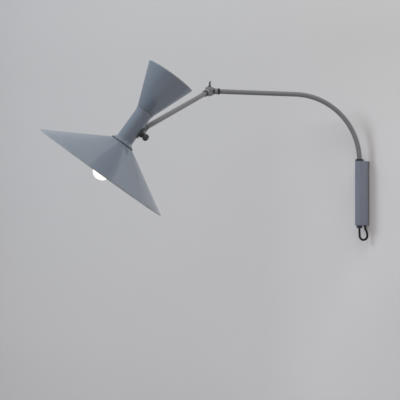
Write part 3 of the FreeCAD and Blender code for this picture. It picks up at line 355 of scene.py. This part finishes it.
def piece(name, shape, body, finishes, place=Matrix.Identity(4), sharp=35):
    """Makes a finished object of a bmesh: closed, pointing outwards, with its creases."""
    bmesh.ops.remove_doubles(shape, verts=shape.verts, dist=MERGE)
    bmesh.ops.recalc_face_normals(shape, faces=shape.faces)
    bmesh.ops.transform(shape, matrix=place, verts=shape.verts)
    for face in shape.faces:
        face.smooth = True
    for edge in shape.edges:
        if edge.is_manifold and edge.calc_face_angle() > math.radians(sharp):
            edge.smooth = False
    mesh = bpy.data.meshes.new(name)
    shape.to_mesh(mesh)
    shape.free()
    made = bpy.data.objects.new(name, mesh)
    bpy.context.scene.collection.objects.link(made)
    for finish in finishes:
        mesh.materials.append(FINISHES[finish])
    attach(made, body)
    return made


def bezier(start, pull_start, pull_end, end, steps=10):
    """Points along a cubic curve, without its first one."""
    line = []
    for step in range(1, steps + 1):
        t = step / steps
        parts = ((1 - t) ** 3, 3 * t * (1 - t) ** 2, 3 * t * t * (1 - t), t ** 3)
        spots = (start, pull_start, pull_end, end)
        line.append(tuple(sum(p * spot[axis] for p, spot in zip(parts, spots))
                          for axis in (0, 1)))
    return line


def arc(centre, radius, first, last, steps):
    """Points along a circle, from one angle to another in degrees."""
    turns = (math.radians(first + (last - first) * step / steps) for step in range(steps + 1))
    return [(centre[0] + radius * math.cos(turn), centre[1] + radius * math.sin(turn))
            for turn in turns]


def reflector(name, node, seat, rim):
    """A spun reflector: painted outside, white inside, with its rim rolled to a bead."""
    (seat_radius, seat_height), (rim_radius, rim_height) = seat, rim
    down = -1 if rim_height < seat_height else 1
    wall, bead, hole, eased = 1.5, 1.6, 21, 1.5
    bead_foot = rim_height - down * (2 * bead + 0.8)
    slope = math.atan2(abs(rim_height - seat_height), rim_radius - seat_radius)
    profile = [(hole, seat_height), (seat_radius - eased, seat_height),
               (seat_radius, seat_height + down * 1.2), (rim_radius - 0.6, bead_foot)]
    profile += [(radius, rim_height - down * (bead - height))
                for radius, height in arc((rim_radius - bead, 0), bead, -80, 180, 8)]
    inner = wall / math.sin(slope)
    profile += [(rim_radius - inner - 1.2, bead_foot),
                (seat_radius - inner, seat_height + down * (wall + 1.0)),
                (seat_radius - inner - eased, seat_height + down * wall),
                (hole, seat_height + down * wall), (hole, seat_height)]
    shape = bmesh.new()
    spun(shape, profile, 128)
    bmesh.ops.remove_doubles(shape, verts=shape.verts, dist=MERGE)
    bmesh.ops.recalc_face_normals(shape, faces=shape.faces)
    for face in shape.faces:
        middle = face.calc_center_median()
        towards_axis = face.normal.x * middle.x + face.normal.y * middle.y < 0
        opens = face.normal.z * down > 0.3
        face.material_index = 1 if towards_axis or opens else 0
    made = piece(name, shape, "head", ["head_paint", "inner_white"], HEAD)
    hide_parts(node)


def neck(name, node, end, face, seat_radius):
    """Collar that runs out of the cylinder in a hollow curve to a reflector's seat."""
    up = 1 if face > end else -1
    bore, outside, wall = 26.6, 28.6, 2
    flare = seat_radius - outside
    rise = face - up - end
    profile = [(bore, end), (outside, end)]
    profile += bezier((outside, end), (outside + flare * 0.02, end + rise * 0.25),
                      (outside + flare * 0.27, end + rise * 0.43), (seat_radius, face - up))
    profile += [(seat_radius, face - 0.3 * up), (seat_radius - 0.3, face),
                (seat_radius - wall, face), (bore, end + wall * up), (bore, end)]
    shape = bmesh.new()
    spun(shape, profile)
    made = piece(name, shape, "head", ["head_paint"], HEAD, sharp=40)
    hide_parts(node)


def glass_bulb(name, node, contact, up):
    """Thin glass bulb whose neck swells into the globe in one smooth curve."""
    neck_radius, globe, glass, cap_depth, globe_height = 13.2, 30, 1.2, 25, 78
    foot = contact + cap_depth * up
    centre = contact + globe_height * up
    latitude = math.radians(38)
    neck_pull, globe_pull, rings = 16, 11, 24

    def wall(inset):
        radius = globe - inset
        swell = (radius * math.cos(latitude), centre - radius * math.sin(latitude) * up)
        pull = (swell[0] - globe_pull * math.sin(latitude),
                swell[1] - globe_pull * math.cos(latitude) * up)
        line = [(neck_radius - inset, foot)]
        line += bezier(line[0], (neck_radius - inset, foot + neck_pull * up), pull, swell, 14)
        for step in range(1, rings):
            angle = -latitude + step * (math.pi / 2 + latitude) / rings
            line.append((radius * math.cos(angle), centre + radius * math.sin(angle) * up))
        line.append((0, centre + radius * up))
        return line

    outer = wall(0)
    inner = wall(glass)
    shape = bmesh.new()
    spun(shape, outer + inner[::-1] + outer[:1])
    made = piece(name, shape, "head", ["bulb_glass"], HEAD)
    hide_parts(node)


def cast_wings():
    """Wing nut with round-edged wings, thicker towards their tips, on a turned hub."""
    foot, top, tip, span, bore, hub = 18.8, 28.3, 38.8, 14, 2.6, 4
    half_thick, corner, softness = 2.5, 4.8, 1.4
    shape = bmesh.new()
    for side in (-1, 1):
        edge = [(2.2, foot + 3)]
        edge += bezier(edge[0], (span * 0.5, foot + 4.5), (span - 1, foot + 7), (span, tip - 6))
        edge += arc((span - corner, tip - corner), corner, 0, 90, 8)
        edge += bezier(edge[-1], (span * 0.5, tip), (span * 0.34, top + 2.5), (2.8, top - 1))
        verts = [shape.verts.new((half_thick * MM, side * y * MM, z * MM)) for y, z in edge]
        face = shape.faces.new(verts)
        grown = bmesh.ops.extrude_face_region(shape, geom=[face])["geom"]
        moved = [item for item in grown if isinstance(item, bmesh.types.BMVert)]
        bmesh.ops.translate(shape, vec=(-2 * half_thick * MM, 0, 0), verts=moved)
        ends = [item for item in grown if isinstance(item, bmesh.types.BMFace)] + [face]
        flat = [item for item in ends if len(item.verts) > 4]
        rims = list(dict.fromkeys(rim for item in flat for rim in item.edges))
        bmesh.ops.bevel(shape, geom=rims, offset=softness * MM, segments=4, profile=0.5,
                        affect="EDGES", material=-1)
    for vert in shape.verts:
        vert.co.x *= 0.74 + 0.46 * abs(vert.co.y) / (span * MM)
    spun(shape, [(bore, foot), (hub + 0.6, foot), (hub + 1, foot + 0.4), (hub + 1, foot + 2.4),
                 (hub + 0.7, foot + 3), (hub, foot + 3.6), (hub - 0.1, top - 1),
                 (hub - 0.4, top - 0.4), (hub - 0.9, top), (bore, top), (bore, foot)], 48)
    turned = ELBOW @ Matrix.Rotation(math.radians(-10), 4, "Z")
    made = piece("cast_wings", shape, "wing_nut", ["dark_steel"], turned)
    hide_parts("wing_nut")


def round_band(name, body, finish, place, inner, outer, start, end, soft):
    """A turned band round an arm, with softened edges."""
    shape = bmesh.new()
    spun(shape, [(inner, start), (outer - soft, start), (outer - soft * 0.3, start + soft * 0.3),
                 (outer, start + soft), (outer, end - soft),
                 (outer - soft * 0.3, end - soft * 0.3), (outer - soft, end), (inner, end),
                 (inner, start)], 64)
    piece(name, shape, body, [finish], place)


reflector("lower_shade", "lower_reflector", (40.8, -59.6), (242.5, -182.45))
reflector("upper_shade", "upper_reflector", (31.4, 70.4), (86.6, 215))
neck("lower_neck", "lower_collar", -44.7, -58.2, 40.8)
neck("upper_neck", "upper_collar", 57.5, 69.0, 31.4)
glass_bulb("lit_bulb", "lower_bulb", -94.3, -1)
glass_bulb("top_bulb", "upper_bulb", 95.1, 1)
cast_wings()
# A thin black band round the rear barrel beside the hub: painted shade for the groove at the
# junction.
round_band("hub_groove_shade", "rear_knuckle", "black_plastic", REAR_BARREL,
           10.9, 11.8, 17.6, 20.2, 0.3)
round_band("front_sleeve", "front_arm", "elbow_paint", FRONT_BARREL,
           9.0, 11.6, 40.5, 44.0, 0.5)
round_band("front_stop_ring", "front_arm", "black_plastic", FRONT_BARREL,
           9.0, 12.2, 44.1, 50.0, 0.8)

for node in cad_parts.values():
    for held in node.material_slots:
        held.material = FINISHES[held.material.name.split(".")[0]]
# Nodes whose finish differs from the rest of their slot.
OWN_FINISH = {
    "head_tongue": "tongue_paint", "head_knob": "knob_plastic", "lower_gasket": "gasket_rubber",
    # The straight arm tube takes the darker copy of the arm enamel: painted shade.
    "arm_nut": "blued_steel", "straight_arm_tube": "front_arm_shaded_paint",
    "front_swivel_ring": "elbow_paint",
}
for name, finish in OWN_FINISH.items():
    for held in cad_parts[name].material_slots:
        held.material = FINISHES[finish]
cable.data.materials.append(FINISHES["cable_rubber"])


# ---------------------------------------------------------------- wall and floor
def plaster():
    """Pale matt wall with painted light, paler low down and to the right. Only the eye looks
    through its back.
    """
    finish = Finish("plaster", Roughness=0.9)
    cloud = finish.noise(1.3, 3.0)
    across = finish.node("ShaderNodeSeparateXYZ", {}, {"Vector": finish.place}, output="X")
    up = finish.node("ShaderNodeSeparateXYZ", {}, {"Vector": finish.place}, output="Z")
    # Painted light: the wall made paler low down and to the right. The cloud is a random tone.
    low = finish.between(up, 0.66, -0.75)
    right = finish.between(across, -0.5, 0.0) * finish.between(up, 0.6, 0.1)
    painted_light_and_cloud = low * 0.62 + right * 0.5 + cloud * 0.2
    finish.sends(Base_Color=finish.blend(painted_light_and_cloud, tone(195, 193, 193), tone(219, 216, 217)),
                 Normal=finish.bump(finish.noise(120.0, 5.0), 0.08, 0.002))
    back = finish.node("ShaderNodeNewGeometry", output="Backfacing")
    seen = finish.node("ShaderNodeLightPath", output="Is Camera Ray")
    clear = finish.node("ShaderNodeBsdfTransparent")
    solid = Socket(finish, finish.shader.outputs[0])
    mixed = finish.node("ShaderNodeMixShader", {}, {0: back * seen, 1: solid, 2: clear})
    out = finish.tree.nodes["Material Output"]
    finish.feed(out.inputs["Surface"], mixed)
    return finish.material


def sheet_of(name, place):
    """One of the room's large flat sheets, no part of the lamp."""
    shape = bmesh.new()
    bmesh.ops.create_grid(shape, x_segments=1, y_segments=1, size=6, matrix=place)
    mesh = bpy.data.meshes.new(name)
    shape.to_mesh(mesh)
    shape.free()
    made = bpy.data.objects.new(name, mesh)
    bpy.context.scene.collection.objects.link(made)
    mesh.materials.append(WALL_FINISH)


WALL_FINISH = plaster()
sheet_of("wall", Matrix.Translation((0, 0.001, 0)) @ Matrix.Rotation(math.radians(90), 4, "X"))
sheet_of("floor", Matrix.Translation((0, -6, -1.35)))


# ---------------------------------------------------------------- lights
# The point that every light faces.
AIM = (-0.2, -0.6, 0.15)


def soft_light(name, place, size, power, colour):
    """A round area light, which no glossy surface mirrors."""
    lamp = bpy.data.lights.new(name, "AREA")
    lamp.shape = "DISK"
    lamp.size = size
    lamp.energy = power
    lamp.color = colour
    held = bpy.data.objects.new(name, lamp)
    held.visible_glossy = False
    held.location = place
    held.rotation_euler = (Vector(AIM) - Vector(place)).to_track_quat("-Z", "Y").to_euler()
    bpy.context.scene.collection.objects.link(held)


soft_light("window_left", (-2.2, -3.4, 2.0), 1.8, 83, (0.84, 0.93, 1.0))
soft_light("window_right", (1.3, -2.8, 2.4), 1.8, 18, (1.0, 0.98, 0.94))
soft_light("ceiling", (0.4, -1.6, 2.6), 2.0, 12, (1.0, 0.98, 0.95))
soft_light("wall_right", (1.2, -0.3, 1.9), 0.8, 20, (1.0, 0.97, 0.92))
world = bpy.data.worlds.new("room")
world.use_nodes = True
world.node_tree.nodes["Background"].inputs["Color"].default_value = (1.0, 0.98, 0.96, 1)
world.node_tree.nodes["Background"].inputs["Strength"].default_value = 0.30
bpy.context.scene.world = world
bpy.context.scene.view_settings.view_transform = "Standard"
